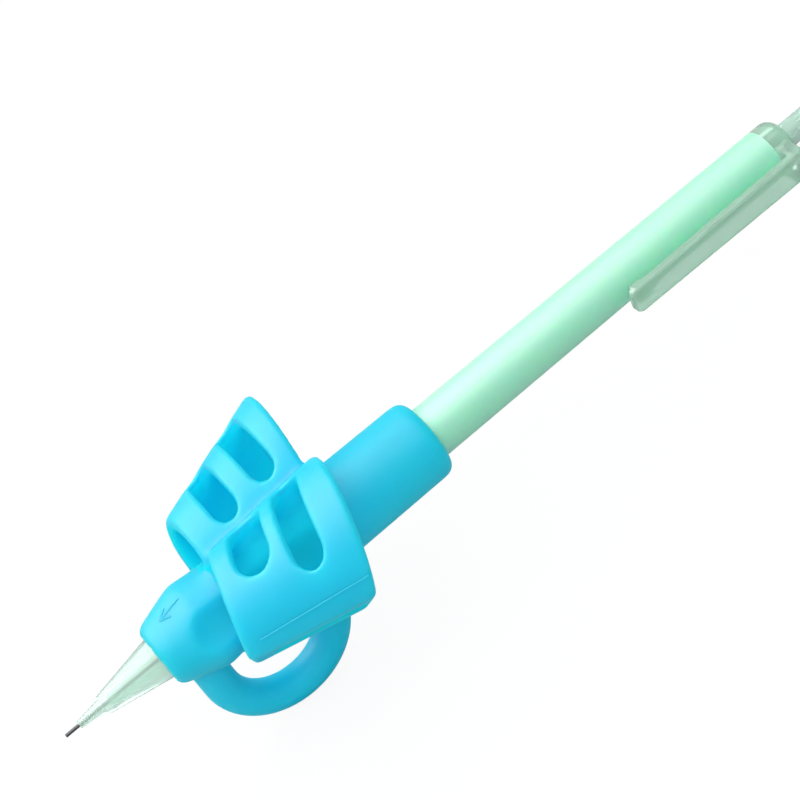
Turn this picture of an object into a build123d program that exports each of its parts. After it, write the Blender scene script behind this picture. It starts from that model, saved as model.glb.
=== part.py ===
from build123d import *
from dataclasses import dataclass
import math
import os

# The pencil lies along +X with its writing point at the origin. +Z points up between the grip's
# two finger hoods, so the grip's middle-finger ring hangs straight down. Lengths are millimetres.

# Lead
LEAD_D = 0.56
LEAD_LENGTH = 60.0
LEAD_SHOWN = 2.4
LEAD_FIT = 0.03
SPARE_LEADS = 3
SPARE_SETBACK = 9.2

# Clear nose cone and the rubber ring that keeps the lead from falling out
TIP_LENGTH = 4.2
TIP_FRONT_D = 1.25
TIP_BACK_D = 2.3
STEP_D = 3.15
CONE_LENGTH = 15.6
NECK_D = 6.6
NECK_LENGTH = 6.2
RETAINER_D = 2.0
RETAINER_LENGTH = 1.6
RETAINER_SETBACK = 1.2

# Barrel
BARREL_FRONT_D = 8.8
BARREL_REAR_D = 7.95
BARREL_LENGTH = 113.4
BARREL_BORE_D = 5.9

# Lead advance: chuck, clutch ring, sleeve, spring and coupler
PRESS_TRAVEL = 2.5
RING_TRAVEL = 1.0
CHUCK_HEAD_D = 3.2
CHUCK_HEAD_LENGTH = 0.8
CHUCK_TAPER_LENGTH = 0.5
CHUCK_BODY_D = 2.6
CHUCK_TAIL_D = 2.0
CHUCK_TAIL_LENGTH = 3.0
CHUCK_JAWS = 3
CHUCK_SLIT = 0.25
CHUCK_SLIT_LENGTH = 9.0
CLUTCH_RING_D = 4.5
CLUTCH_RING_LENGTH = 2.4
SLEEVE_REACH = 1.4
SLEEVE_WALL = 0.4
SLEEVE_END_WALL = 1.0
SLEEVE_FLANGE_LENGTH = 1.0
SLEEVE_TAIL_LENGTH = 6.6
SPRING_WIRE_D = 0.3
SPRING_LENGTH = 13.6
SPRING_TURNS = 8
COUPLER_FLANGE_LENGTH = 1.2
COUPLER_BODY_LENGTH = 2.9
COUPLER_SPIGOT_LENGTH = 4.0
LEAD_PASSAGE_D = 1.0

# Lead tube, eraser and push button
TUBE_D = 3.0
TUBE_WALL = 0.35
TUBE_PAST_COLLAR = 2.8
ERASER_LENGTH = 7.7
ERASER_SHOWN = 3.7
BUTTON_D = 4.1
BUTTON_SHOWN = 8.2
BUTTON_COVERED = 3.0
BUTTON_END_WALL = 1.3
BUTTON_EDGE_R = 0.5

# Clip: clear collar plugged into the barrel, with a springy arm
COLLAR_LENGTH = 3.8
COLLAR_LIP = 0.125
PLUG_LENGTH = 8.6
CLIP_TURN = 95.0
CLIP_ARM_LENGTH = 36.4
CLIP_TIP_WIDTH = 4.7
CLIP_ROOT_WIDTH = 5.4
CLIP_ARM_THICKNESS = 1.2
CLIP_TIP_GAP = 1.7
CLIP_ROOT_GAP = 1.9
CLIP_PAD_SETBACK = 1.2
CLIP_PAD_LENGTH = 4.0
CLIP_PAD_WIDTH = 2.2
CLIP_PAD_GAP = 0.1
CLIP_ROOT_LENGTH = 2.6
CLIP_EDGE_R = 0.45
CLIP_ROOT_R = 1.2
CLIP_CORNER_R = 1.3

# Fits between the pencil's pieces, as gaps on the radius or on the face
SLIDE_FIT = 0.1
PRESS_FIT = 0.02
FACE_FIT = 0.02
CHUCK_ROOM = 0.2

# Silicone grip: sleeve, measured from its front edge
GRIP_FRONT = 16.6
GRIP_LENGTH = 51.0
GRIP_FIT = 0.12
GRIP_FRONT_D = 9.8
GRIP_SHOULDER_D = 14.6
GRIP_SHOULDER_X = 7.7
GRIP_WAIST_D = 13.7
GRIP_WAIST_X = 11.5
GRIP_REAR_D = 13.0
GRIP_FRONT_EDGE_R = 1.9
GRIP_SHOULDER_R = 2.5
GRIP_WAIST_R = 6.0
GRIP_REAR_EDGE_R = 1.7

# Silicone grip: what its two finger hoods share
HOOD_WALL = 1.9
HOOD_FLAT_TURN = 22.0
HOOD_FLAT_DEPTH = 1.5
HOOD_FLAT_EDGE_R = 1.2
HOOD_RIM_R = 0.6
SCOOP_R = 11.0
SCOOP_DEPTH = 1.2
SCOOP_FRONT_X = 9.9
SCOOP_REAR_X = 26.0


@dataclass
class Hood:
    """Sizes of one hood: a slanted, tapered tunnel beside the sleeve, open at both ends.

    The front and rear values are taken where the hood's two end planes cross its middle. A centre
    lies out from the pencil's axis and to the side of the ring, a skew turns an end plane or a slot
    towards the ring, and a rake tips an end plane back at the crown. Each slot has its place along
    the grip, its middle as an angle round the tunnel, its length and its width.
    """

    turn: float
    front_x: float
    front_r: float
    front_out: float
    front_side: float
    front_skew: float
    front_rake: float
    rear_x: float
    rear_r: float
    rear_out: float
    rear_side: float
    rear_skew: float
    rear_rake: float
    slot_skew: float
    slots: tuple


THUMB = Hood(
    turn=65.0,
    front_x=13.1,
    front_r=9.1,
    front_out=6.5,
    front_side=0.4,
    front_skew=15.0,
    front_rake=-10.5,
    rear_x=32.2,
    rear_r=11.8,
    rear_out=9.5,
    rear_side=1.2,
    rear_skew=18.0,
    rear_rake=-3.0,
    slot_skew=18.0,
    slots=((19.75, 162.5, 11.7, 5.5), (26.6, 151.5, 16.1, 4.4)),
)
INDEX = Hood(
    turn=-65.0,
    front_x=12.35,
    front_r=8.4,
    front_out=6.9,
    front_side=0.5,
    front_skew=9.0,
    front_rake=2.0,
    rear_x=32.1,
    rear_r=12.2,
    rear_out=10.2,
    rear_side=1.5,
    rear_skew=4.5,
    rear_rake=7.0,
    slot_skew=-1.0,
    slots=((20.8, 153.0, 13.1, 4.0), (28.5, 153.0, 15.2, 4.0)),
)

# Silicone grip: the middle-finger ring
RING_X = 14.9
RING_LOOP_R = 10.0
RING_DROP = 11.3
RING_BAR_D = 5.7

# Places along the pencil
nose_front = LEAD_SHOWN
cone_front = nose_front + TIP_LENGTH
barrel_front = cone_front + CONE_LENGTH
barrel_rear = barrel_front + BARREL_LENGTH
neck_rear = barrel_front + NECK_LENGTH
flange_rear = neck_rear + SLEEVE_FLANGE_LENGTH
collar_rear = barrel_rear + COLLAR_LENGTH
button_rear = collar_rear + BUTTON_SHOWN
button_front = collar_rear - BUTTON_COVERED
tube_rear = collar_rear + TUBE_PAST_COLLAR
eraser_rear = tube_rear + ERASER_SHOWN
eraser_front = eraser_rear - ERASER_LENGTH
sleeve_front = barrel_front - SLEEVE_REACH
ring_front = sleeve_front - CLUTCH_RING_LENGTH
chuck_front = ring_front - CHUCK_TAPER_LENGTH - CHUCK_HEAD_LENGTH
spring_front = sleeve_front + SLEEVE_END_WALL
coupler_front = spring_front + SPRING_LENGTH
tube_front = coupler_front + COUPLER_FLANGE_LENGTH + COUPLER_BODY_LENGTH

# Bores that several pieces share
lead_bore = LEAD_D + 2 * LEAD_FIT
chamber_bore = CLUTCH_RING_D + 2 * SLIDE_FIT
neck_bore = NECK_D + 2 * PRESS_FIT
sleeve_bore = chamber_bore - 2 * PRESS_FIT - 2 * SLEEVE_WALL
tube_bore = TUBE_D - 2 * TUBE_WALL


def turned(*outline):
    """A solid turned about the pencil's axis from a closed outline of (x, radius) points."""
    return revolve(make_face(Polyline(*outline, close=True)), Axis.X)


def tube(front, rear, outer_d, bore_d):
    """A straight tube about the pencil's axis."""
    return turned(
        (front, bore_d / 2),
        (front, outer_d / 2),
        (rear, outer_d / 2),
        (rear, bore_d / 2),
    )


def rod(front, rear, diameter):
    """A straight round rod about the pencil's axis."""
    return turned((front, 0), (front, diameter / 2), (rear, diameter / 2), (rear, 0))


def rounded(face, point, radius):
    """The face with its corner nearest to a point rounded."""
    corner = face.vertices().sort_by_distance(point)[0]
    return fillet(corner, radius)


def taper(x, x0, value0, x1, value1):
    """A size that changes evenly along the axis, carried on past both ends."""
    return value0 + (value1 - value0) * (x - x0) / (x1 - x0)


def nose_radius(x):
    """Outer radius of the wide part of the nose cone."""
    return taper(x, cone_front, STEP_D / 2, barrel_front, BARREL_FRONT_D / 2)


def nose_cone():
    """Clear cone with a fine stepped tip and a neck that screws into the barrel."""
    seat_front = cone_front + RETAINER_SETBACK
    seat_rear = seat_front + RETAINER_LENGTH
    seat_r = RETAINER_D / 2 + PRESS_FIT
    return turned(
        (nose_front, lead_bore / 2),
        (nose_front, TIP_FRONT_D / 2),
        (cone_front, TIP_BACK_D / 2),
        (cone_front, STEP_D / 2),
        (barrel_front, BARREL_FRONT_D / 2),
        (barrel_front, NECK_D / 2),
        (neck_rear, NECK_D / 2),
        (neck_rear, chamber_bore / 2),
        (ring_front - RING_TRAVEL, chamber_bore / 2),
        (chuck_front - PRESS_TRAVEL, CHUCK_HEAD_D / 2 + CHUCK_ROOM),
        (seat_rear, seat_r),
        (seat_front, seat_r),
        (seat_front, lead_bore / 2),
    )


def lead_retainer():
    """Soft ring in the nose that grips the lead lightly."""
    front = cone_front + RETAINER_SETBACK + FACE_FIT
    return tube(front, front + RETAINER_LENGTH - FACE_FIT, RETAINER_D, lead_bore)


def barrel():
    """Long tapered barrel with a wider seat at its front for the nose's neck."""
    return turned(
        (barrel_front, neck_bore / 2),
        (barrel_front, BARREL_FRONT_D / 2),
        (barrel_rear, BARREL_REAR_D / 2),
        (barrel_rear, BARREL_BORE_D / 2),
        (flange_rear, BARREL_BORE_D / 2),
        (flange_rear, neck_bore / 2),
    )


def chuck():
    """Brass collet whose three jaws close on the lead when the clutch ring holds its head."""
    body_r = CHUCK_BODY_D / 2
    tail_rear = coupler_front + CHUCK_TAIL_LENGTH
    body = turned(
        (chuck_front, lead_bore / 2),
        (chuck_front, CHUCK_HEAD_D / 2),
        (chuck_front + CHUCK_HEAD_LENGTH, CHUCK_HEAD_D / 2),
        (ring_front, body_r),
        (coupler_front, body_r),
        (coupler_front, CHUCK_TAIL_D / 2),
        (tail_rear, CHUCK_TAIL_D / 2),
        (tail_rear, LEAD_PASSAGE_D / 2),
        (chuck_front + CHUCK_SLIT_LENGTH, LEAD_PASSAGE_D / 2),
        (chuck_front + CHUCK_SLIT_LENGTH, lead_bore / 2),
    )
    slit = Box(
        CHUCK_SLIT_LENGTH,
        CHUCK_SLIT,
        CHUCK_HEAD_D,
        align=(Align.MIN, Align.CENTER, Align.MIN),
    )
    for jaw in range(CHUCK_JAWS):
        body -= Rot(X=360 * jaw / CHUCK_JAWS) * Pos(X=chuck_front) * slit
    return body


def clutch_ring():
    """Loose ring round the chuck that squeezes the jaws until the button is pressed."""
    return tube(ring_front, sleeve_front - FACE_FIT, CLUTCH_RING_D, CHUCK_BODY_D + 2 * SLIDE_FIT)


def chuck_sleeve():
    """Fixed sleeve that backs the clutch ring and the spring, held between neck and barrel."""
    outer_r = chamber_bore / 2 - PRESS_FIT
    tail_rear = flange_rear + SLEEVE_TAIL_LENGTH
    return turned(
        (sleeve_front, CHUCK_BODY_D / 2 + SLIDE_FIT),
        (sleeve_front, outer_r),
        (neck_rear + FACE_FIT, outer_r),
        (neck_rear + FACE_FIT, NECK_D / 2),
        (flange_rear - FACE_FIT, NECK_D / 2),
        (flange_rear - FACE_FIT, outer_r),
        (tail_rear, outer_r),
        (tail_rear, sleeve_bore / 2),
        (spring_front, sleeve_bore / 2),
        (spring_front, CHUCK_BODY_D / 2 + SLIDE_FIT),
    )


def chuck_spring():
    """Coil spring that draws the chuck back into the clutch ring."""
    coil_r = (sleeve_bore + CHUCK_BODY_D) / 4
    span = SPRING_LENGTH - SPRING_WIRE_D - 2 * FACE_FIT
    helix = Helix(pitch=span / SPRING_TURNS, height=span, radius=coil_r, direction=(1, 0, 0))
    wire = sweep(Plane(helix @ 0, z_dir=helix % 0) * Circle(SPRING_WIRE_D / 2), path=helix)
    return Pos(X=spring_front + SPRING_WIRE_D / 2 + FACE_FIT) * wire


def tube_coupler():
    """Plastic coupler that joins the chuck to the lead tube and seats the spring."""
    flange_end = coupler_front + COUPLER_FLANGE_LENGTH
    socket_end = coupler_front + CHUCK_TAIL_LENGTH + FACE_FIT
    spigot_end = tube_front + COUPLER_SPIGOT_LENGTH
    socket_r = CHUCK_TAIL_D / 2 + PRESS_FIT
    spigot_r = tube_bore / 2 - PRESS_FIT
    return turned(
        (coupler_front, socket_r),
        (coupler_front, sleeve_bore / 2 - SLIDE_FIT),
        (flange_end, sleeve_bore / 2 - SLIDE_FIT),
        (flange_end, TUBE_D / 2),
        (tube_front, TUBE_D / 2),
        (tube_front, spigot_r),
        (spigot_end, spigot_r),
        (spigot_end, LEAD_PASSAGE_D / 2),
        (socket_end, LEAD_PASSAGE_D / 2),
        (socket_end, socket_r),
    )


def lead_tube():
    """Long thin tube that stores spare leads and carries the eraser and the button."""
    return tube(tube_front + FACE_FIT, tube_rear, TUBE_D, tube_bore)


def lead():
    """The lead in use."""
    return rod(0, LEAD_LENGTH, LEAD_D)


def spare_leads():
    """Spare leads lying side by side on the floor of the lead tube."""
    ring_r = (tube_bore - LEAD_D) / 2 - PRESS_FIT
    step = 2 * math.degrees(math.asin((LEAD_D / 2 + PRESS_FIT) / ring_r))
    rear = eraser_front - SPARE_SETBACK
    one = Pos(Z=-ring_r) * rod(rear - LEAD_LENGTH, rear, LEAD_D)
    return [
        Rot(X=step * (place - (SPARE_LEADS - 1) / 2)) * one for place in range(SPARE_LEADS)
    ]


def eraser():
    """Small white eraser plugged into the rear of the lead tube."""
    return rod(eraser_front, eraser_rear, tube_bore - 2 * PRESS_FIT)


def push_button():
    """Hollow button over the eraser, pushed onto the end of the lead tube."""
    stop = tube_rear + FACE_FIT
    cavity_rear = button_rear - BUTTON_END_WALL
    outline = make_face(
        Polyline(
            (button_front, TUBE_D / 2 + PRESS_FIT),
            (button_front, BUTTON_D / 2),
            (button_rear, BUTTON_D / 2),
            (button_rear, 0),
            (cavity_rear, 0),
            (cavity_rear, tube_bore / 2 + SLIDE_FIT),
            (stop, tube_bore / 2 + SLIDE_FIT),
            (stop, TUBE_D / 2 + PRESS_FIT),
            close=True,
        )
    )
    return revolve(rounded(outline, (button_rear, BUTTON_D / 2), BUTTON_EDGE_R), Axis.X)


def clip_collar():
    """Clear collar with a rounded shoulder and a plug that fills the end of the barrel."""
    plug_front = barrel_rear - PLUG_LENGTH
    recess_front = button_front - PRESS_TRAVEL - CHUCK_ROOM
    button_hole = BUTTON_D / 2 + SLIDE_FIT
    shoulder_r = BARREL_REAR_D / 2 - button_hole - COLLAR_LIP
    outline = make_face(
        Polyline(
            (plug_front, TUBE_D / 2 + SLIDE_FIT),
            (plug_front, BARREL_BORE_D / 2 - PRESS_FIT),
            (barrel_rear + FACE_FIT, BARREL_BORE_D / 2 - PRESS_FIT),
            (barrel_rear + FACE_FIT, BARREL_REAR_D / 2),
            (collar_rear, BARREL_REAR_D / 2),
            (collar_rear, button_hole),
            (recess_front, button_hole),
            (recess_front, TUBE_D / 2 + SLIDE_FIT),
            close=True,
        )
    )
    return revolve(rounded(outline, (collar_rear, BARREL_REAR_D / 2), shoulder_r), Axis.X)


def clip_profile(front, tip_r):
    """Side outline of the clip's arm: a thin blade that rises from the collar, square at its free end."""
    root_front = barrel_rear + FACE_FIT
    root_rear = root_front + CLIP_ROOT_LENGTH
    root_r = BARREL_REAR_D / 2 + CLIP_ROOT_GAP
    outline = make_face(
        Polyline(
            (front, tip_r),
            (front, tip_r + CLIP_ARM_THICKNESS),
            (root_rear, root_r + CLIP_ARM_THICKNESS),
            (root_rear, BARREL_BORE_D / 2),
            (root_front, BARREL_BORE_D / 2),
            (root_front, root_r),
            close=True,
        )
    )
    return rounded(outline, (root_rear, root_r + CLIP_ARM_THICKNESS), CLIP_ROOT_R)


def clip_plan(front):
    """Outline of the arm from above: a little wider at the collar, with a rounded free end."""
    rear = barrel_rear + FACE_FIT + CLIP_ROOT_LENGTH
    tip = CLIP_TIP_WIDTH / 2
    root = CLIP_ROOT_WIDTH / 2
    outline = make_face(Polyline((front, -tip), (front, tip), (rear, root), (rear, -root), close=True))
    for corner in (-tip, tip):
        outline = rounded(outline, (front, corner), CLIP_CORNER_R)
    return outline


def clip_pad(front, tip_r, barrel_r):
    """Small wedge under the arm's free end that presses on the barrel."""
    pad_front = front + CLIP_PAD_SETBACK
    pad_rear = pad_front + CLIP_PAD_LENGTH
    pad_r = barrel_r + CLIP_PAD_GAP
    inside_r = tip_r + CLIP_ARM_THICKNESS / 2
    outline = Polyline(
        (pad_front, inside_r),
        (pad_rear, inside_r),
        (pad_rear, tip_r),
        ((pad_front + pad_rear) / 2, pad_r),
        (pad_front, pad_r),
        close=True,
    )
    return extrude(Plane.XZ * make_face(outline), CLIP_PAD_WIDTH / 2, both=True)


def clip_arm():
    """Springy arm beside the barrel, with a soft edge round its outer face and a pad at its free end."""
    front = collar_rear - CLIP_ARM_LENGTH
    barrel_r = taper(front, barrel_front, BARREL_FRONT_D, barrel_rear, BARREL_REAR_D) / 2
    tip_r = barrel_r + CLIP_TIP_GAP
    blade = extrude(Plane.XZ * clip_profile(front, tip_r), CLIP_ROOT_WIDTH, both=True)
    blade &= extrude(clip_plan(front), tip_r + BARREL_REAR_D)
    outer_face = blade.faces().filter_by(GeomType.PLANE).sort_by(Axis.Z)[-1]
    blade = fillet(outer_face.edges().sort_by(Axis.X)[:-1], CLIP_EDGE_R)
    return Rot(X=CLIP_TURN) * (blade + clip_pad(front, tip_r, barrel_r))


def clip():
    """Collar and arm, one clear moulding."""
    return clip_collar() + clip_arm()


def grip_sleeve():
    """Outer form of the sleeve: a flared nose, a slight waist and a long straight tail."""
    outline = make_face(
        Polyline(
            (0, 0),
            (0, GRIP_FRONT_D / 2),
            (GRIP_SHOULDER_X, GRIP_SHOULDER_D / 2),
            (GRIP_WAIST_X, GRIP_WAIST_D / 2),
            (GRIP_LENGTH, GRIP_REAR_D / 2),
            (GRIP_LENGTH, 0),
            close=True,
        )
    )
    outline = rounded(outline, (0, GRIP_FRONT_D / 2), GRIP_FRONT_EDGE_R)
    outline = rounded(outline, (GRIP_SHOULDER_X, GRIP_SHOULDER_D / 2), GRIP_SHOULDER_R)
    outline = rounded(outline, (GRIP_WAIST_X, GRIP_WAIST_D / 2), GRIP_WAIST_R)
    outline = rounded(outline, (GRIP_LENGTH, GRIP_REAR_D / 2), GRIP_REAR_EDGE_R)
    return revolve(outline, Axis.X)


def finger_scoop():
    """Capsule that hollows the sleeve where a fingertip lies, under a hood that points up."""
    out = GRIP_WAIST_D / 2 + SCOOP_R - SCOOP_DEPTH
    length = SCOOP_REAR_X - SCOOP_FRONT_X
    middle = Rot(Y=90) * Cylinder(SCOOP_R, length, align=(Align.CENTER, Align.CENTER, Align.MIN))
    capsule = middle + Sphere(SCOOP_R) + Pos(X=length) * Sphere(SCOOP_R)
    return Pos(SCOOP_FRONT_X, 0, out) * capsule


def along_hood(hood, x, front, rear):
    """A size of the hood at a place between its ends, carried on past both."""
    return taper(x, hood.front_x, front, hood.rear_x, rear)


def hood_radius(hood, x):
    """Outer radius of the tunnel."""
    return along_hood(hood, x, hood.front_r, hood.rear_r)


def hood_centre(hood, x):
    """Centre of the tunnel as (to the ring side, outwards), for a hood that points up."""
    side = along_hood(hood, x, hood.front_side, hood.rear_side)
    out = along_hood(hood, x, hood.front_out, hood.rear_out)
    return Vector(side, out)


def hood_plane(x):
    """Cross-section of a hood that points up: its x runs to the ring side, its y outwards."""
    return Plane((x, 0, 0), x_dir=(0, -1, 0), z_dir=(-1, 0, 0))


def hood_skin(hood, x):
    """Outer cross-section: a circle with a flat on its ring side."""
    radius = hood_radius(hood, x)
    beyond = Rectangle(2 * radius, 4 * radius, align=(Align.MIN, Align.CENTER))
    shape = Circle(radius) - Rot(Z=HOOD_FLAT_TURN) * Pos(X=radius - HOOD_FLAT_DEPTH) * beyond
    shape = fillet(shape.vertices(), HOOD_FLAT_EDGE_R)
    return hood_plane(x) * Pos(hood_centre(hood, x)) * shape


def hood_room(hood, x):
    """Inner cross-section: a circle drawn back from the flat by half its depth."""
    radius = hood_radius(hood, x) - HOOD_WALL - HOOD_FLAT_DEPTH / 2
    back = Vector(-HOOD_FLAT_DEPTH / 2, 0).rotate(Axis.Z, HOOD_FLAT_TURN)
    return hood_plane(x) * Pos(hood_centre(hood, x) + back) * Circle(radius)


def end_plane(x, skew, rake):
    """Slanted plane that cuts off one end of a hood that points up."""
    normal = Vector(1, -math.tan(math.radians(skew)), -math.tan(math.radians(rake)))
    return Plane((x, 0, 0), z_dir=normal)


def hood_slot(hood, x, middle, length, width):
    """Cutter for one slot that wraps over the crown of a hood that points up."""
    centre = hood_centre(hood, x)
    turn = math.radians(middle)
    skew = math.radians(hood.slot_skew)
    outward = Vector(0, -math.cos(turn), math.sin(turn))
    around = Vector(0, -math.sin(turn), -math.cos(turn))
    along = around * math.cos(skew) - Vector(math.sin(skew), 0, 0)
    place = Plane((x, -centre.X, centre.Y), x_dir=along, z_dir=outward)
    return extrude(place * SlotOverall(length, width), 2 * hood.rear_r)


def finger_hood(hood):
    """One hood, pointing up with the ring on its -Y side."""
    ends = (hood.front_x - hood.front_r, hood.rear_x + hood.rear_r)
    shell = loft([hood_skin(hood, x) for x in ends]) - loft([hood_room(hood, x) for x in ends])
    front = end_plane(hood.front_x, hood.front_skew, hood.front_rake)
    rear = end_plane(hood.rear_x, hood.rear_skew, hood.rear_rake)
    shell = split(shell, front, keep=Keep.TOP)
    shell = split(shell, rear, keep=Keep.BOTTOM)
    rims = shell.faces().filter_by(GeomType.PLANE)
    shell = fillet(rims.edges(), HOOD_RIM_R)
    for slot in hood.slots:
        shell -= hood_slot(hood, *slot)
    return shell


def turned_out(hood, shape):
    """A shape made for a hood that points up, turned to the hood's place beside the sleeve."""
    if hood.turn < 0:
        shape = mirror(shape, Plane.XZ)
    return Rot(X=hood.turn) * shape


def middle_ring():
    """Round bar bent into a loop under the sleeve for the middle finger."""
    front = RING_X - RING_LOOP_R
    rear = RING_X + RING_LOOP_R
    start = Line((front, 0, 0), (front, 0, -RING_DROP))
    loop = ThreePointArc(
        (front, 0, -RING_DROP), (RING_X, 0, -RING_DROP - RING_LOOP_R), (rear, 0, -RING_DROP)
    )
    end = Line((rear, 0, -RING_DROP), (rear, 0, 0))
    bar = Plane((front, 0, 0), z_dir=(0, 0, -1)) * Circle(RING_BAR_D / 2)
    return sweep(bar, path=Wire([start, loop, end]))


def grip_bore():
    """Hole through the grip: it follows the nose cone in front and the barrel behind."""
    front = GRIP_FRONT
    rear = GRIP_FRONT + GRIP_LENGTH
    bore_r = BARREL_FRONT_D / 2 + GRIP_FIT
    return turned(
        (front - RING_LOOP_R, 0),
        (front - RING_LOOP_R, nose_radius(front) + GRIP_FIT),
        (front, nose_radius(front) + GRIP_FIT),
        (barrel_front, bore_r),
        (rear + RING_LOOP_R, bore_r),
        (rear + RING_LOOP_R, 0),
    )


def silicone_grip():
    """Soft one-piece moulding that pushes over the nose and the front of the barrel."""
    body = grip_sleeve()
    for hood in (THUMB, INDEX):
        body -= turned_out(hood, finger_scoop())
    body += middle_ring()
    for hood in (THUMB, INDEX):
        body += turned_out(hood, finger_hood(hood))
    return Pos(X=GRIP_FRONT) * body - grip_bore()


def save(name, shape):
    """Write one piece, or a group of separate solids, under its own name."""
    solids = shape if isinstance(shape, list) else [shape]
    bodies = [solid for item in solids for solid in item.solids()]
    piece = bodies[0] if len(bodies) == 1 else Compound(children=bodies)
    piece.label = name
    export_step(piece, os.path.join("parts", f"{name}.step"))


os.makedirs("parts", exist_ok=True)
for build in (
    silicone_grip,
    nose_cone,
    lead_retainer,
    barrel,
    clip,
    chuck,
    clutch_ring,
    chuck_sleeve,
    chuck_spring,
    tube_coupler,
    lead_tube,
    lead,
    spare_leads,
    eraser,
    push_button,
):
    save(build.__name__, build())
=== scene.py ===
# %% [markdown]
# # A silicone pencil grip on its mechanical pencil
# The grip is one soft moulding: a sleeve, two slotted hoods for thumb and index finger, and a ring for the
# middle finger. It sits on a slim pencil with a clear nose and a clear clip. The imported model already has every
# piece at its size and place, so this lesson gives each piece its skin and finish, and never moves one.

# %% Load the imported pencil
import math

import bpy
from mathutils import Matrix, Vector


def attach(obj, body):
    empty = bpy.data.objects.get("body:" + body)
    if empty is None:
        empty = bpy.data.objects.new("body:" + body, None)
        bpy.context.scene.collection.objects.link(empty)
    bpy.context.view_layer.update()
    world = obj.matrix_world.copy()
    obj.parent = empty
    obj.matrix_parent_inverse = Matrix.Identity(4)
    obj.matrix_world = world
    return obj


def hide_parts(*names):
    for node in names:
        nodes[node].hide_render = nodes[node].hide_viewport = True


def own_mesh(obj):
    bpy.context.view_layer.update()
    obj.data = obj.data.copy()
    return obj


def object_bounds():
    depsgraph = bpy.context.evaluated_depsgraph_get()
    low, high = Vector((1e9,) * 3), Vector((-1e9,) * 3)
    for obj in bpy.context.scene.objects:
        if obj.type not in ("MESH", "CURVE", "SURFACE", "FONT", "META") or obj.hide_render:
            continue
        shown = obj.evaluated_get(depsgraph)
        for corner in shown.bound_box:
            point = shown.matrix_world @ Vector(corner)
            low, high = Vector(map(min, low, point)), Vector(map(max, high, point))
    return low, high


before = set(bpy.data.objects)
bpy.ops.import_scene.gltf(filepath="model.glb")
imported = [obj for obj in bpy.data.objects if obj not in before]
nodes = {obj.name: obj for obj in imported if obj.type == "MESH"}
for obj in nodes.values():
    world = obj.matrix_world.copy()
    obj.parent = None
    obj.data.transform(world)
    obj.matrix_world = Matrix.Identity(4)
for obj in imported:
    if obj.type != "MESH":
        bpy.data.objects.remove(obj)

MM = 0.001
scene = bpy.context.scene
cad_low, cad_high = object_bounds()
print("pieces in the frame:", sorted(nodes))

# %% [markdown]
# ## The camera
# The photograph looks at the pencil from above its thumb side, with the writing point low on the left. A camera
# could be pushed about by hand until the outlines agree, but three turns are easier to check: how far the pencil
# climbs across the picture, how far its point leans towards the viewer, and how far the hoods are rolled up into
# view. From them come the camera's own axes.

# %% Camera at the photograph's viewing angle
CLIMB = math.radians(39.6)
LEAN = math.radians(10.0)
ROLL = math.radians(40.0)
VIEW_DISTANCE = 294 * MM
AIM_ALONG = 67.6 * MM
AIM_ASIDE = 6.5 * MM
PICTURE_SIDE = 800
FOCAL_LENGTH = 2000  # in pixels, as the picture's side is

along_pencil = Vector((1, 0, 0))
aside = Vector((0, math.sin(ROLL), math.cos(ROLL)))
facing = Vector((0, -math.cos(ROLL), math.sin(ROLL)))
toward = math.cos(LEAN) * facing - math.sin(LEAN) * along_pencil
across = math.cos(LEAN) * along_pencil + math.sin(LEAN) * facing
view_right = math.cos(CLIMB) * across - math.sin(CLIMB) * aside
view_up = math.sin(CLIMB) * across + math.cos(CLIMB) * aside
aim = AIM_ALONG * along_pencil + AIM_ASIDE * aside

bpy.ops.object.camera_add(location=aim + VIEW_DISTANCE * toward)
camera = bpy.context.object
camera.name = "photo_camera"
camera.rotation_euler = Matrix((view_right, view_up, toward)).transposed().to_euler()
camera.data.angle = 2 * math.atan(PICTURE_SIDE / 2 / FOCAL_LENGTH)
camera.data.clip_start = 1 * MM
scene.camera = camera
scene.view_settings.view_transform = "Standard"
print("camera stands", round(VIEW_DISTANCE / MM), "mm from the pencil")

# %% [markdown]
# ## Light and floor
# A product shot like this one has a broad soft light at the left, a weaker one at the camera, and one from behind
# that shines through thin silicone. Two big cards, one far to the left and one above on the viewer's side, only
# show up as sheen on satin surfaces. A single bright sky would be simpler, but it leaves the hoods flat. To the
# camera, and through clear plastic, the floor and the sky look almost white. Everything else sees their true level,
# so the floor keeps the object's shadow.


# %% Helpers for colours, nodes and selections
def rgb(hex_code):
    """An sRGB hex colour as linear red, green, blue and alpha."""
    channels = [int(hex_code[start : start + 2], 16) / 255 for start in (1, 3, 5)]
    linear = [c / 12.92 if c <= 0.04045 else ((c + 0.055) / 1.055) ** 2.4 for c in channels]
    return (*linear, 1.0)


def add_node(tree, kind, settings=None, **inputs):
    """Adds a node, sets its properties, and sets or links its inputs by name."""
    node = tree.nodes.new(kind)
    for name, value in (settings or {}).items():
        setattr(node, name, value)
    for name, value in inputs.items():
        socket = node.inputs[name.replace("_", " ")]
        if isinstance(value, bpy.types.NodeSocket):
            tree.links.new(value, socket)
        else:
            socket.default_value = value
    return node


def new_material(name):
    """A material with an empty node tree and an output node."""
    material = bpy.data.materials.new(name)
    material.use_nodes = True
    material.node_tree.nodes.clear()
    output = material.node_tree.nodes.new("ShaderNodeOutputMaterial")
    return material, material.node_tree, output


def select_only(piece):
    """Makes one piece the only selected and active one."""
    bpy.ops.object.select_all(action="DESELECT")
    piece.select_set(True)
    bpy.context.view_layer.objects.active = piece


def seen_directly(tree):
    """A socket that is 1 for what the camera sees, straight or through clear plastic."""
    path = add_node(tree, "ShaderNodeLightPath")
    seen = add_node(tree, "ShaderNodeMath", {"operation": "MAXIMUM"})
    tree.links.new(path.outputs["Is Camera Ray"], seen.inputs[0])
    tree.links.new(path.outputs["Is Transmission Ray"], seen.inputs[1])
    return seen.outputs[0]


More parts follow.
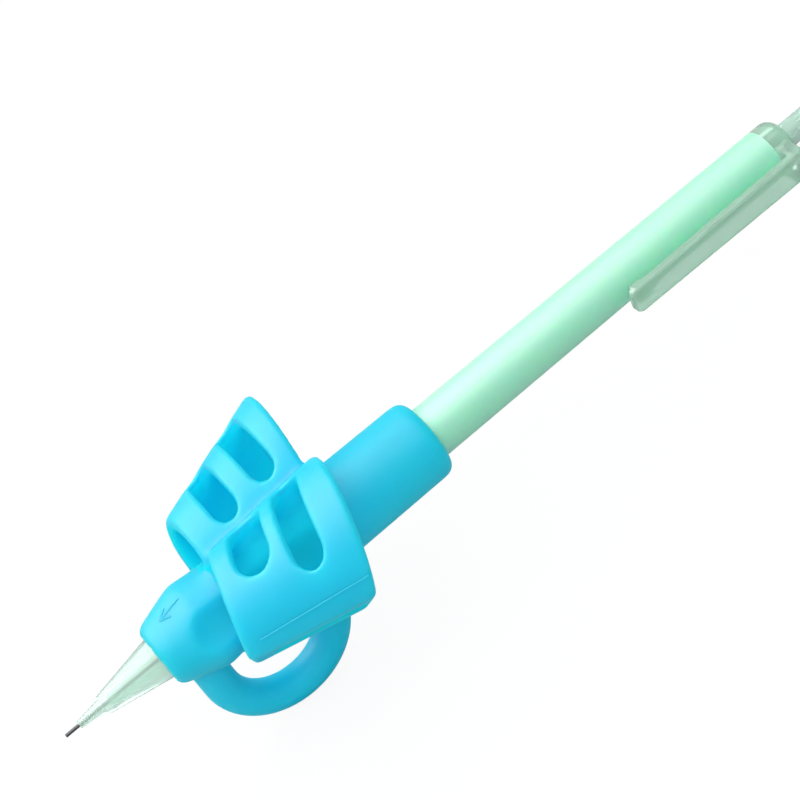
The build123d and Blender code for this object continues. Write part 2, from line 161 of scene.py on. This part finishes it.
# %% Floor
FLOOR_SIZE = 3.0
FLOOR_SHADE = 0.2
PAPER_GREY = "#BEBEBE"
PAPER_GLOW = 1.12
WHITE = (1, 1, 1, 1)


def floor_finish():
    """Matt white paper that keeps a faint shadow under the object."""
    material, tree, output = new_material("white_paper_floor")
    paper = add_node(tree, "ShaderNodeBsdfDiffuse", Color=rgb(PAPER_GREY))
    glow = add_node(tree, "ShaderNodeEmission", Color=WHITE, Strength=PAPER_GLOW)
    pale = add_node(tree, "ShaderNodeMapRange", Value=seen_directly(tree), To_Max=1 - FLOOR_SHADE)
    mix = add_node(tree, "ShaderNodeMixShader", Fac=pale.outputs["Result"])
    tree.links.new(paper.outputs[0], mix.inputs[1])
    tree.links.new(glow.outputs[0], mix.inputs[2])
    tree.links.new(mix.outputs[0], output.inputs["Surface"])
    return material


bpy.ops.object.select_all(action="DESELECT")
bpy.ops.mesh.primitive_plane_add(size=FLOOR_SIZE, location=(aim.x, 0, cad_low.z))
floor = bpy.context.object
floor.name = "floor"
floor.data.materials.append(floor_finish())
print("floor at", round(cad_low.z / MM, 2), "mm")

# %% Soft lights
# Each lamp's direction is given in the picture: up, to the right, and towards the viewer.
LAMPS = {
    "key_light": {"up": 0.3, "right": -0.8, "toward": 0.6, "size": 1.2, "power": 4.4},
    "fill_light": {"up": 0.2, "right": 0.0, "toward": 1.0, "size": 0.6, "power": 1.5},
    "back_light": {"up": 0.8, "right": -0.3, "toward": -0.5, "size": 0.5, "power": 2.0},
    "edge_sheen_card": {"up": 0.4, "right": -0.88, "toward": 0.28, "size": 0.9, "power": 14.0},
    "top_sheen_card": {"up": 0.45, "right": -0.4, "toward": 0.8, "size": 0.9, "power": 7.0},
}
NOT_REFLECTED = ("fill_light", "back_light")
SHEEN_ONLY = ("edge_sheen_card", "top_sheen_card")
LIGHT_DISTANCE = 0.7


def soft_light(name):
    """One square lamp of the table, which faces the grip."""
    row = LAMPS[name]
    direction = row["up"] * view_up + row["right"] * view_right + row["toward"] * toward
    bpy.ops.object.light_add(type="AREA", location=aim + LIGHT_DISTANCE * direction.normalized())
    lamp = bpy.context.object
    lamp.name = name
    lamp.data.size = row["size"]
    lamp.data.energy = row["power"]
    lamp.rotation_euler = direction.to_track_quat("Z", "Y").to_euler()
    lamp.visible_glossy = name not in NOT_REFLECTED
    lamp.visible_diffuse = name not in SHEEN_ONLY
    lamp.visible_transmission = name not in SHEEN_ONLY


for name in LAMPS:
    soft_light(name)

# %% Pale sky
WORLD_LIGHT = 0.45


def pale_sky():
    """A world that looks white and lights the scene at its own level."""
    world = bpy.data.worlds.new("pale_studio")
    world.use_nodes = True
    tree = world.node_tree
    level = add_node(tree, "ShaderNodeMapRange", Value=seen_directly(tree), To_Min=WORLD_LIGHT, To_Max=1.0)
    tree.links.new(level.outputs["Result"], tree.nodes["Background"].inputs["Strength"])
    tree.nodes["Background"].inputs["Color"].default_value = WHITE
    return world


scene.world = pale_sky()
print("sky:", scene.world.name, "at", WORLD_LIGHT)

# %% [markdown]
# ## The silicone grip
# On the real object this is one piece of soft silicone with no sharp edge anywhere: the mould's corners are
# rounded and the rubber softens them further. The frame's solid has the right form but crisp slot edges. Bevels
# would have to be picked edge by edge. A fine voxel remesh turns a copy of the solid into an even skin instead, and
# rounds of smoothing melt every edge alike. A second, coarser remesh keeps the skin light.

# %% Skin of the grip
FINE_VOXEL = 0.2 * MM
SKIN_VOXEL = 0.33 * MM
MELT_ROUNDS = 60
SETTLE_ROUNDS = 4
SMOOTH_SHARE = 0.5
SAME_POINT = 0.001 * MM


def apply_modifier(piece, kind, **settings):
    """Adds one modifier to a piece and applies it at once."""
    modifier = piece.modifiers.new(kind.lower(), kind)
    for name, value in settings.items():
        setattr(modifier, name, value)
    select_only(piece)
    bpy.ops.object.modifier_apply(modifier=modifier.name)


def merged_copy(node, name):
    """A new object with the node's mesh, its loose triangles joined."""
    piece = bpy.data.objects.new(name, nodes[node].data.copy())
    scene.collection.objects.link(piece)
    piece.data.materials.clear()
    select_only(piece)
    bpy.ops.object.mode_set(mode="EDIT")
    bpy.ops.mesh.select_all(action="SELECT")
    bpy.ops.mesh.remove_doubles(threshold=SAME_POINT)
    bpy.ops.object.mode_set(mode="OBJECT")
    return piece


def melted(piece, voxel, rounds):
    """Remeshes a piece to even faces and smooths its edges away."""
    apply_modifier(piece, "REMESH", mode="VOXEL", voxel_size=voxel, adaptivity=0.0)
    apply_modifier(piece, "SMOOTH", factor=SMOOTH_SHARE, iterations=rounds)


grip = merged_copy("silicone_grip", "grip_skin")
melted(grip, FINE_VOXEL, MELT_ROUNDS)
melted(grip, SKIN_VOXEL, SETTLE_ROUNDS)
select_only(grip)
bpy.ops.object.shade_smooth()
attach(grip, "grip")
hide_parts("silicone_grip")
print("grip skin:", len(grip.data.polygons), "faces")

# %% [markdown]
# ## Inside and outside of the hoods
# The outside of the mould is polished to a satin, and the core that forms the two pockets is left matt. The faces
# could be picked by hand, but a remesh numbers them anew. So each face of the skin is asked how far it lies from
# its hood's middle line: inside the wall it gets the matt finish.

# %% Which faces lie inside a pocket
# Each pair holds millimetres at a hood's front and rear: its place along the pencil, how far its middle line lies
# to the ring side and outwards, and its outer radius. The hand is the side of the pencil it is on.
HOODS = {
    "thumb": {"hand": -1, "x": (29.7, 48.8), "side": (0.4, 1.2), "out": (6.5, 9.5), "radius": (9.1, 11.8)},
    "index": {"hand": 1, "x": (28.95, 48.7), "side": (0.5, 1.5), "out": (6.9, 10.2), "radius": (8.4, 12.2)},
}
HOOD_TURN = math.radians(65)
WALL_MIDDLE = 0.95 * MM


def hood_axes(hood):
    """Directions to the ring side of a hood and outwards from the pencil."""
    hand = HOODS[hood]["hand"]
    ringward = Vector((0, hand * math.cos(HOOD_TURN), -math.sin(HOOD_TURN)))
    outward = Vector((0, hand * math.sin(HOOD_TURN), math.cos(HOOD_TURN)))
    return ringward, outward


def at_place(hood, size, part):
    """One of a hood's sizes at a part of the way from its front to its rear, in metres."""
    front, rear = HOODS[hood][size]
    return (front + part * (rear - front)) * MM


def hood_middle(hood, part):
    """A point on a hood's middle line."""
    ringward, outward = hood_axes(hood)
    aside_by = at_place(hood, "side", part) * ringward + at_place(hood, "out", part) * outward
    return Vector((at_place(hood, "x", part), 0, 0)) + aside_by


def in_pocket(point):
    """Whether a point of the skin lies inside the wall of a hood."""
    for hood in HOODS:
        part = (point.x - at_place(hood, "x", 0)) / (at_place(hood, "x", 1) - at_place(hood, "x", 0))
        reach = at_place(hood, "radius", part) - WALL_MIDDLE
        if 0 < part < 1 and (point - hood_middle(hood, part)).length < reach:
            return True
    return False


pocket_faces = [face for face in grip.data.polygons if in_pocket(face.center)]
print("faces inside the pockets:", len(pocket_faces))

# %% [markdown]
# ## Lines that the mould leaves
# Each hood carries a fine raised line where two halves of the mould met, and a small arrow on the nose shows which
# way the grip goes on. They could be a bump in the material, but a bump is lost in a mesh that is printed or
# simulated. So a ray from outside finds the skin at each step of a line, and a thin round bead follows the points,
# half sunk in the rubber.

# %% Beads on the skin
BEAD_SIDES = 2


def on_skin(start, inward):
    """The point where a ray from outside first meets the grip."""
    found, point, _, _ = grip.ray_cast(start, inward.normalized())
    assert found, "the ray missed the grip"
    return point


def bead(name, lines, radius):
    """A thin round bead through each list of points, as one mesh on the grip."""
    path = bpy.data.curves.new(name, "CURVE")
    path.dimensions = "3D"
    path.bevel_depth = radius
    path.bevel_resolution = BEAD_SIDES
    path.use_fill_caps = True
    for points in lines:
        spline = path.splines.new("POLY")
        spline.points.add(len(points) - 1)
        for knot, point in zip(spline.points, points):
            knot.co = (*point, 1)
    piece = bpy.data.objects.new(name, path)
    scene.collection.objects.link(piece)
    select_only(piece)
    bpy.ops.object.convert(target="MESH")
    bpy.ops.object.shade_smooth()
    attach(piece, "grip")
    return piece


# %% Parting lines of the hoods
SEAM_R = 0.13 * MM
SEAM_STEPS = 40
SEAM_TURN = math.radians(74)
SEAM_START, SEAM_END = -0.04, 0.86
OUTSIDE = 30 * MM
RIM_ROUND = 0.4 * MM


def seam_points(hood):
    """Points along one hood's parting line, wherever the ray meets the outside of its wall."""
    ringward, outward = hood_axes(hood)
    spoke = math.cos(SEAM_TURN) * ringward + math.sin(SEAM_TURN) * outward
    points = []
    for step in range(SEAM_STEPS + 1):
        part = SEAM_START + step / SEAM_STEPS * (SEAM_END - SEAM_START)
        middle = hood_middle(hood, part)
        point = on_skin(middle + OUTSIDE * spoke, -spoke)
        if (point - middle).length > at_place(hood, "radius", part) - RIM_ROUND:
            points.append(point)
    return points


seams = bead("parting_lines", [seam_points("thumb"), seam_points("index")], SEAM_R)
print("parting lines:", len(seams.data.polygons), "faces")

# %% Arrow on the nose of the grip
ARROW_R = 0.14 * MM
ARROW_STEPS = 10
ARROW_TAIL_X, ARROW_TIP_X = 24.2 * MM, 20.2 * MM
ARROW_TURN = math.radians(7)
BARB_X = 1.6 * MM
BARB_TURN = math.radians(9)


def stroke(start, end):
    """Points on the skin between two places, each a place along the pencil and a turn about it."""
    points = []
    for step in range(ARROW_STEPS + 1):
        part = step / ARROW_STEPS
        x = start[0] + part * (end[0] - start[0])
        turn = start[1] + part * (end[1] - start[1])
        spoke = Vector((0, -math.sin(turn), math.cos(turn)))
        points.append(on_skin(Vector((x, 0, 0)) + OUTSIDE * spoke, -spoke))
    return points


tip = (ARROW_TIP_X, ARROW_TURN)
strokes = [stroke((ARROW_TAIL_X, ARROW_TURN), tip)]
for side in (-1, 1):
    strokes.append(stroke((ARROW_TIP_X + BARB_X, ARROW_TURN + side * BARB_TURN), tip))
arrow = bead("nose_arrow", strokes, ARROW_R)
print("arrow:", len(arrow.data.polygons), "faces")

# %% [markdown]
# ## The silicone's finish
# Silicone rubber is pigmented all through and lets light sink in, blue and green much further than red. That gives
# its thin walls their glow. A plain blue plastic would look hard, so the colour comes from scattering under a satin
# skin. The pockets are matt, and their colour is painted a shade lighter as painted glow, standing in for the light
# that bounces about in them. The raised lines are too thin for light to sink in far.


# %% Marks that every finish shares
def marks_on(tree, size, detail, stretch=(1, 1, 1)):
    """Fine marks of a real size in metres, drawn out by a stretch: a socket that runs from 0 to 1."""
    place = add_node(tree, "ShaderNodeTexCoord")
    drawn = add_node(tree, "ShaderNodeMapping", Vector=place.outputs["Object"], Scale=stretch)
    marks = add_node(tree, "ShaderNodeTexNoise", Vector=drawn.outputs["Vector"], Scale=1 / size, Detail=detail)
    return marks.outputs["Fac"]


# %% Silicone finish
OUTER_TONES = ("#12CEEB", "#1AD4EF")
# The pocket tones are painted a shade lighter than the outer tones, as painted glow for light that bounces inside the
# pockets.
POCKET_PAINTED_GLOW_TONES = ("#10DCFA", "#18E2FE")
CLOUD_SIZE = 9 * MM
CLOUD_EDGES = (0.3, 0.7)
SKIN_GRAIN = 0.35 * MM  # coarser than a real mould's grain, so that it shows at all
GRAIN_HEIGHT = 0.05 * MM
ROUGHNESS_SPREAD = 0.06
LIGHT_REACH = (0.1, 0.8, 0.8)


def silicone_finish(name, tones, depth, roughness, shine):
    """Pigmented silicone rubber: clouds of two tones, light that sinks in by a depth, and the mould's shine."""
    material, tree, output = new_material(name)
    tint = add_node(tree, "ShaderNodeValToRGB", Fac=marks_on(tree, CLOUD_SIZE, 2.0))
    for stop, edge, tone in zip(tint.color_ramp.elements, CLOUD_EDGES, tones):
        stop.position = edge
        stop.color = rgb(tone)
    grain = marks_on(tree, SKIN_GRAIN, 3.0)
    relief = add_node(tree, "ShaderNodeBump", Height=grain, Strength=0.05, Distance=GRAIN_HEIGHT)
    gloss = add_node(
        tree,
        "ShaderNodeMapRange",
        Value=grain,
        To_Min=roughness - ROUGHNESS_SPREAD,
        To_Max=roughness + ROUGHNESS_SPREAD,
    )
    skin = add_node(
        tree,
        "ShaderNodeBsdfPrincipled",
        Base_Color=tint.outputs["Color"],
        Roughness=gloss.outputs["Result"],
        IOR=1.41,
        Specular_IOR_Level=shine,
        Subsurface_Weight=1.0,
        Subsurface_Radius=LIGHT_REACH,
        Subsurface_Scale=depth,
        Normal=relief.outputs["Normal"],
    )
    tree.links.new(skin.outputs[0], output.inputs["Surface"])
    return material


# %% Silicone on the grip
satin = silicone_finish("blue_silicone_satin", OUTER_TONES, depth=3.0 * MM, roughness=0.5, shine=0.4)
# The pockets' matt silicone carries the lighter tones of painted glow.
matt = silicone_finish("blue_silicone_matt_painted_glow", POCKET_PAINTED_GLOW_TONES, depth=5.0 * MM, roughness=0.85, shine=0.1)
thin_satin = silicone_finish("blue_silicone_lines", OUTER_TONES, depth=0.1 * MM, roughness=0.5, shine=0.4)

grip.data.materials.append(satin)
grip.data.materials.append(matt)
for face in pocket_faces:
    face.material_index = 1
for piece in (seams, arrow):
    piece.data.materials.append(thin_satin)
print("silicone on", [piece.name for piece in (grip, seams, arrow)])

# %% [markdown]
# ## The coil spring
# Pressing the button squeezes a small spring inside the barrel, and letting go lets it draw the lead clutch back. The
# frame's spring is stiff and would run into the coupler. Winding a new one for each position would be a lot of work,
# so one copy, hung on the barrel, stands in for it.

spring = merged_copy("chuck_spring", "coil_spring")
bpy.ops.object.shade_smooth()
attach(spring, "barrel")
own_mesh(spring)
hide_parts("chuck_spring")

# %% [markdown]
# ## Moulded plastic
# The barrel is mint ABS with a soft gloss, moulded so thin that light glows in it, and the pieces inside are white
# acetal. Plain paint would be one flat colour. Scattered light, a satin coat and faint flow marks along the mould
# make it plastic.

# %% Moulded plastic finish
FLOW_SIZE = 2.5 * MM
FLOW_STRETCH = (0.15, 1, 1)
FLOW_HEIGHT = 0.05 * MM
WALL_GLOW = 4.0 * MM


def dress(finish, *names):
    """Gives one finish to several of the frame's nodes."""
    for name in names:
        nodes[name].data.materials.clear()
        nodes[name].data.materials.append(finish)
    print(finish.name, "on", names)


def plastic_finish(name, colour, roughness, coat, glow, reach):
    """Moulded plastic: an even colour with faint flow marks, a satin coat or none, and light that sinks in."""
    material, tree, output = new_material(name)
    marks = marks_on(tree, FLOW_SIZE, 3.0, FLOW_STRETCH)
    gloss = add_node(tree, "ShaderNodeMapRange", Value=marks, To_Min=0.85 * roughness, To_Max=1.15 * roughness)
    relief = add_node(tree, "ShaderNodeBump", Height=marks, Strength=0.03, Distance=FLOW_HEIGHT)
    body = add_node(
        tree,
        "ShaderNodeBsdfPrincipled",
        Base_Color=rgb(colour),
        Roughness=gloss.outputs["Result"],
        IOR=1.54,
        Specular_IOR_Level=0.5 + 0.5 * coat,
        Coat_Weight=coat,
        Coat_Roughness=roughness,
        Coat_IOR=1.8,
        Subsurface_Weight=glow,
        Subsurface_Radius=reach,
        Subsurface_Scale=WALL_GLOW,
        Normal=relief.outputs["Normal"],
    )
    tree.links.new(body.outputs[0], output.inputs["Surface"])
    return material


# Moulded ABS: an even mint under a satin sheen, greener where it turns from the light.
mint = plastic_finish("mint_abs", "#92EBC8", roughness=0.6, coat=1.0, glow=1.0, reach=(1.0, 0.1, 0.4))
dress(mint, "barrel")
# Moulded acetal: milky white and a little waxy.
acetal = plastic_finish("white_acetal", "#ECEDE8", roughness=0.45, coat=0.0, glow=0.3, reach=(1, 1, 1))
dress(acetal, "chuck_sleeve", "tube_coupler", "lead_tube")

# %% [markdown]
# ## Clear plastic
# Nose, clip and button are clear plastics with a breath of green, and a clear rubber ring sits in the nose. Perfect
# glass would be too bright and hard, so each lets only a share of the light through and keeps some colour of its
# own. Clear pieces hardly darken what is under them, so they cast no shadow here.

# %% Clear plastic finish
CLEAR_FLOW_SIZE = 1.5 * MM
CLEAR_FLOW_STRETCH = (0.1, 1, 1)


def clear_finish(name, colour, roughness, clearness, shine):
    """Clear moulded plastic with a green breath and faint flow marks in its gloss."""
    material, tree, output = new_material(name)
    marks = marks_on(tree, CLEAR_FLOW_SIZE, 2.0, CLEAR_FLOW_STRETCH)
    gloss = add_node(tree, "ShaderNodeMapRange", Value=marks, To_Min=0.6 * roughness, To_Max=1.4 * roughness)
    body = add_node(
        tree,
        "ShaderNodeBsdfPrincipled",
        Base_Color=rgb(colour),
        Roughness=gloss.outputs["Result"],
        IOR=1.5,
        Specular_IOR_Level=shine,
        Transmission_Weight=clearness,
    )
    tree.links.new(body.outputs[0], output.inputs["Surface"])
    return material


# Moulded polystyrene: clear enough to show the lead, a little milky.
nose = clear_finish("clear_green_polystyrene", "#D6EDE3", roughness=0.12, clearness=0.66, shine=0.15)
dress(nose, "nose_cone")
# Clear silicone rubber: hardly seen, so that the lead shows through it.
rubber = clear_finish("clear_silicone_rubber", "#E4F0EA", roughness=0.1, clearness=0.9, shine=0.2)
dress(rubber, "lead_retainer")
# Moulded polycarbonate: see-through, a little smoky, with a hard gloss.
smoky = clear_finish("clear_smoky_polycarbonate", "#BADCCB", roughness=0.14, clearness=0.62, shine=0.5)
dress(smoky, "clip")
# Frosted polystyrene: light comes through it, and shapes are blurred.
frosted = clear_finish("frosted_green_polystyrene", "#C4E0D5", roughness=0.25, clearness=0.5, shine=0.5)
dress(frosted, "push_button")
for name in ("nose_cone", "lead_retainer", "clip", "push_button"):
    nodes[name].visible_shadow = False

# %% [markdown]
# ## Metal, lead and eraser
# The clutch is turned brass and the spring is drawn steel. Both show fine lines round their axis, which a noise
# stretched round the pencil gives without drawing each line. Lead and eraser are dry, so a fine grain in colour and
# relief takes the place of gloss.

# %% Metal finish
LINE_SIZE = 0.15 * MM  # coarser than a real tool's lines, so that they show at all
LINE_STRETCH = (1, 0.05, 0.05)


def metal_finish(name, colour, roughness):
    """Turned or drawn metal with fine lines round its axis."""
    material, tree, output = new_material(name)
    marks = marks_on(tree, LINE_SIZE, 2.0, LINE_STRETCH)
    gloss = add_node(tree, "ShaderNodeMapRange", Value=marks, To_Min=0.8 * roughness, To_Max=1.3 * roughness)
    body = add_node(
        tree,
        "ShaderNodeBsdfPrincipled",
        Base_Color=rgb(colour),
        Metallic=1.0,
        Roughness=gloss.outputs["Result"],
    )
    tree.links.new(body.outputs[0], output.inputs["Surface"])
    return material


# Turned brass: a warm yellow shine with lines round it.
dress(metal_finish("turned_brass", "#C9A45A", roughness=0.28), "chuck", "clutch_ring")
# Drawn steel wire: bright grey.
spring.data.materials.append(metal_finish("drawn_spring_steel", "#B4B6B8", roughness=0.25))
print("steel on", spring.name)

# %% Lead and eraser finish
DRY_HEIGHT = 0.05 * MM


def dry_finish(name, colour, roughness, grain_size):
    """Rubber or lead: dry, with a fine grain in colour and relief."""
    material, tree, output = new_material(name)
    grain = marks_on(tree, grain_size, 3.0)
    level = add_node(tree, "ShaderNodeMapRange", Value=grain, To_Min=0.85, To_Max=1.15)
    shade = add_node(tree, "ShaderNodeHueSaturation", Color=rgb(colour), Value=level.outputs["Result"])
    relief = add_node(tree, "ShaderNodeBump", Height=grain, Strength=0.15, Distance=DRY_HEIGHT)
    body = add_node(
        tree,
        "ShaderNodeBsdfPrincipled",
        Base_Color=shade.outputs["Color"],
        Roughness=roughness,
        Normal=relief.outputs["Normal"],
    )
    tree.links.new(body.outputs[0], output.inputs["Surface"])
    return material


# Polymer lead: dark grey with a dull shine.
dress(dry_finish("polymer_lead", "#3A3C40", roughness=0.42, grain_size=0.12 * MM), "lead", "spare_leads")
# Vinyl eraser: white, dry and faintly grainy.
dress(dry_finish("white_vinyl_eraser", "#EEEFEA", roughness=0.7, grain_size=0.2 * MM), "eraser")
